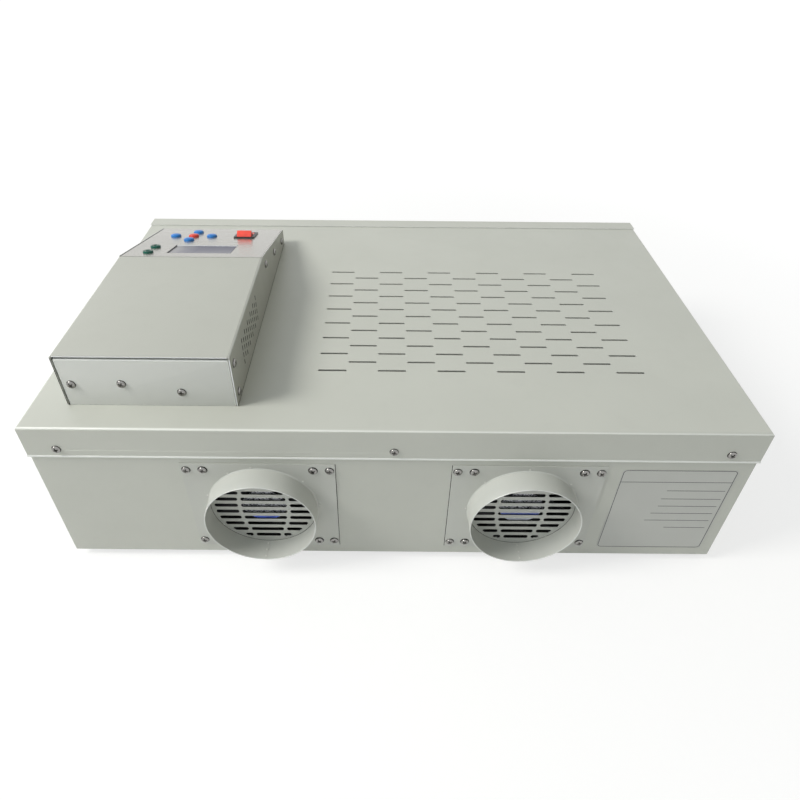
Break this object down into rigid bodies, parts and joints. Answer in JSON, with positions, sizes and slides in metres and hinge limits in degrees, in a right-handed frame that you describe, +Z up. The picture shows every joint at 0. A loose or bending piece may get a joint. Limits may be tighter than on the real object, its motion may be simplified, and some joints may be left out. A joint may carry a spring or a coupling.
{
  "type": "reflow oven",
  "caption": "Drawer-type infrared reflow oven with rear exhaust fans and hose collars, slotted top cover and a sloping controller box with keys, display and rocker switch.",
  "frame": {"origin": "centre of the bounding box at the bench, under the feet", "axes": "+Z up, the drawer opens towards -Y, the exhaust ducts point towards +Y, +X is to the right seen from the front"},
  "size_m": [0.6874, 0.5224, 0.2432],
  "materials": {
    "base_tray": "fine textured warm grey powder coat",
    "front_frame": "fine textured warm grey powder coat",
    "top_cover": "fine textured warm grey powder coat",
    "body_screws": "nickel plated",
    "feet": "matte black",
    "foot_screws": "nickel plated",
    "rating_plate": "matte",
    "mains_inlet": "black moulded",
    "duct_plate_left": "fine textured warm grey powder coat",
    "duct_plate_right": "fine textured warm grey powder coat",
    "duct_collar_left": "fine textured warm grey powder coat",
    "duct_collar_right": "fine textured warm grey powder coat",
    "plate_screws": "nickel plated",
    "fan_frame_left": "black painted die casting",
    "fan_frame_right": "black painted die casting",
    "fan_wheel_left": "black",
    "fan_wheel_right": "black",
    "chamber": "stainless",
    "chamber_back": "stainless",
    "insulation": "ceramic fibre felt",
    "reflector": "stainless",
    "tube_brackets": "stainless",
    "heater_tubes": "clear quartz",
    "heater_coils": "oxidised wire",
    "tube_caps": "unglazed ceramic",
    "thermocouples": "oxidised wire",
    "rail_outer_left": "zinc plated",
    "rail_outer_right": "zinc plated",
    "rail_middle_left": "zinc plated",
    "rail_middle_right": "zinc plated",
    "rail_inner_left": "zinc plated",
    "rail_inner_right": "zinc plated",
    "drawer_front": "fine textured warm grey powder coat",
    "drawer_liner": "stainless",
    "window_panes": "dark heat-resistant glass",
    "window_spacer": "stainless",
    "drawer_seal": "silicone",
    "drawer_handle": "black satin",
    "drawer_pan": "stainless",
    "board_rack": "stainless",
    "ctrl_base": "fine textured warm grey powder coat",
    "ctrl_cover": "fine textured warm grey powder coat",
    "ctrl_back_panel": "fine textured warm grey powder coat",
    "ctrl_panel": "satin silver-grey",
    "ctrl_screws": "nickel plated",
    "ctrl_board": "circuit board",
    "board_posts": "bright",
    "key_switches": "black moulded",
    "key_up": "glossy blue",
    "key_down": "glossy blue",
    "key_left": "glossy blue",
    "key_right": "glossy blue",
    "key_enter": "glossy red",
    "display_window": "grey display",
    "display_module": "dark",
    "rocker_bezel": "black moulded",
    "rocker": "glossy translucent red",
    "sensor_jacks": "dark green",
    "power_unit": "circuit board",
    "cable_bush": "matte black"
  },
  "bodies": {
    "root": {"base_tray": "base_tray", "front_frame": "front_frame", "top_cover": "top_cover", "body_screws": "body_screws", "feet": "feet", "foot_screws": "foot_screws", "rating_plate": "rating_plate", "mains_inlet": "mains_inlet", "duct_plate_left": "duct_plate_left", "duct_plate_right": "duct_plate_right", "duct_collar_left": "duct_collar_left", "duct_collar_right": "duct_collar_right", "plate_screws": "plate_screws", "fan_frame_left": "fan_frame_left", "fan_frame_right": "fan_frame_right", "chamber": "chamber", "chamber_back": "chamber_back", "insulation": "insulation", "reflector": "reflector", "tube_brackets": "tube_brackets", "heater_tubes": "heater_tubes", "heater_coils": "heater_coils", "tube_caps": "tube_caps", "thermocouples": "thermocouples", "rail_outer_left": "rail_outer_left", "rail_outer_right": "rail_outer_right", "ctrl_base": "ctrl_base", "ctrl_cover": "ctrl_cover", "ctrl_back_panel": "ctrl_back_panel", "ctrl_panel": "ctrl_panel", "ctrl_screws": "ctrl_screws", "ctrl_board": "ctrl_board", "board_posts": "board_posts", "key_switches": "key_switches", "display_window": "display_window", "display_module": "display_module", "rocker_bezel": "rocker_bezel", "sensor_jacks": "sensor_jacks", "power_unit": "power_unit", "cable_bush": "cable_bush"},
    "drawer": {"drawer_front": "drawer_front", "drawer_liner": "drawer_liner", "window_panes": "window_panes", "window_spacer": "window_spacer", "drawer_seal": "drawer_seal", "drawer_handle": "drawer_handle", "drawer_pan": "drawer_pan", "board_rack": "board_rack", "rail_inner_left": "rail_inner_left", "rail_inner_right": "rail_inner_right"},
    "rail_middles": {"rail_middle_left": "rail_middle_left", "rail_middle_right": "rail_middle_right"},
    "fan_wheel_left": {"fan_wheel_left": "fan_wheel_left"},
    "fan_wheel_right": {"fan_wheel_right": "fan_wheel_right"},
    "key_up": {"key_up": "key_up"},
    "key_down": {"key_down": "key_down"},
    "key_left": {"key_left": "key_left"},
    "key_right": {"key_right": "key_right"},
    "key_enter": {"key_enter": "key_enter"},
    "rocker": {"rocker": "rocker"}
  },
  "joints": [
    {"name": "drawer_slide", "type": "slide", "parent": "root", "child": "drawer", "axis": [0, -1, 0], "range_m": [0, 0.35]},
    {"name": "rail_slide", "type": "slide", "parent": "root", "child": "rail_middles", "axis": [0, -1, 0], "range_m": [0, 0.175]},
    {"name": "fan_spin_left", "type": "hinge", "parent": "root", "child": "fan_wheel_left", "pos_m": [0.1293, 0.22705, 0.0822], "axis": [0, 1, 0], "continuous": true},
    {"name": "fan_spin_right", "type": "hinge", "parent": "root", "child": "fan_wheel_right", "pos_m": [-0.1293, 0.22705, 0.0822], "axis": [0, 1, 0], "continuous": true},
    {"name": "key_up_press", "type": "slide", "parent": "root", "child": "key_up", "axis": [0, 0.2338, -0.9723], "range_m": [0, 0.0012], "stiffness_N_per_m": 250, "springref_m": -0.0008},
    {"name": "key_down_press", "type": "slide", "parent": "root", "child": "key_down", "axis": [0, 0.2338, -0.9723], "range_m": [0, 0.0012], "stiffness_N_per_m": 250, "springref_m": -0.0008},
    {"name": "key_left_press", "type": "slide", "parent": "root", "child": "key_left", "axis": [0, 0.2338, -0.9723], "range_m": [0, 0.0012], "stiffness_N_per_m": 250, "springref_m": -0.0008},
    {"name": "key_right_press", "type": "slide", "parent": "root", "child": "key_right", "axis": [0, 0.2338, -0.9723], "range_m": [0, 0.0012], "stiffness_N_per_m": 250, "springref_m": -0.0008},
    {"name": "key_enter_press", "type": "slide", "parent": "root", "child": "key_enter", "axis": [0, 0.2338, -0.9723], "range_m": [0, 0.0012], "stiffness_N_per_m": 250, "springref_m": -0.0008},
    {"name": "rocker_tilt", "type": "hinge", "parent": "root", "child": "rocker", "pos_m": [0.1867, -0.09501, 0.21388], "axis": [-1, 0, 0], "range_deg": [0, 36]}
  ],
  "couplings": [
    {"joint": "rail_slide", "follows": "drawer_slide", "ratio": 0.5}
  ]
}
